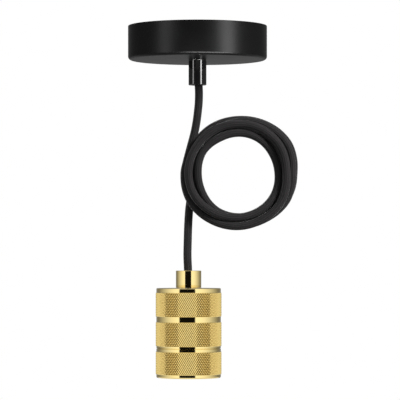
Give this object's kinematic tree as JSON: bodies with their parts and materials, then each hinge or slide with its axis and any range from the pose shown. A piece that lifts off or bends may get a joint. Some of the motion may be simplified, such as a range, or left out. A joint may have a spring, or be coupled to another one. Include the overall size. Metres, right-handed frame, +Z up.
{
  "type": "pendant light",
  "caption": "Hanging lamp holder: round ceiling canopy with a strap inside, coiled textile cord and knurled brass screw lamp holder.",
  "frame": {"origin": "centre of the canopy's top rim, in the plane of the ceiling", "axes": "+Z up towards the ceiling, so the light hangs below; +X to the right in the picture; +Y away from the picture's viewer"},
  "size_m": [0.122, 0.1, 0.2532],
  "materials": {
    "canopy_black": "satin black powder coat",
    "grip_black": "gloss black",
    "cord_textile": "braided black textile",
    "holder_brass": "polished, with diamond knurling",
    "contact_brass": "plain",
    "zinc_steel": "zinc plated",
    "porcelain": "glazed white",
    "nylon": "translucent white",
    "core_brown": "smooth insulation",
    "core_blue": "smooth insulation",
    "core_earth": "smooth insulation with two colours"
  },
  "bodies": {
    "root": {"canopy_cup": "canopy_black", "ceiling_strap": "zinc_steel", "canopy_tube": "zinc_steel", "strap_nut_upper": "zinc_steel", "strap_nut_lower": "zinc_steel", "canopy_grip": "grip_black", "canopy_grip_screw": "zinc_steel", "terminal_block": "nylon", "block_fixing_screw": "zinc_steel", "line_sleeve": "contact_brass", "line_inner_screw": "zinc_steel", "line_outer_screw": "zinc_steel", "neutral_sleeve": "contact_brass", "neutral_inner_screw": "zinc_steel", "neutral_outer_screw": "zinc_steel", "strap_earth_lug": "zinc_steel", "strap_earth_screw": "zinc_steel", "canopy_line_core": "core_brown", "canopy_neutral_core": "core_blue", "canopy_earth_core": "core_earth", "cord_end_upper": "cord_textile", "cord_upper": "cord_textile", "cord_coil": "cord_textile", "cord_lower": "cord_textile", "cord_end_lower": "cord_textile", "holder_grip": "holder_brass", "holder_grip_screw": "zinc_steel", "holder_tube": "zinc_steel", "holder_nut": "zinc_steel", "holder_earth_lug": "zinc_steel", "upper_shell": "holder_brass", "lower_ring": "holder_brass", "ceramic_body": "porcelain", "screw_shell": "contact_brass", "centre_contact": "contact_brass", "line_contact_screw": "zinc_steel", "neutral_contact_screw": "zinc_steel", "line_terminal": "contact_brass", "neutral_terminal": "contact_brass", "line_clamp_screw": "zinc_steel", "neutral_clamp_screw": "zinc_steel", "holder_line_core": "core_brown", "holder_neutral_core": "core_blue", "holder_earth_core": "core_earth"}
  },
  "joints": []
}
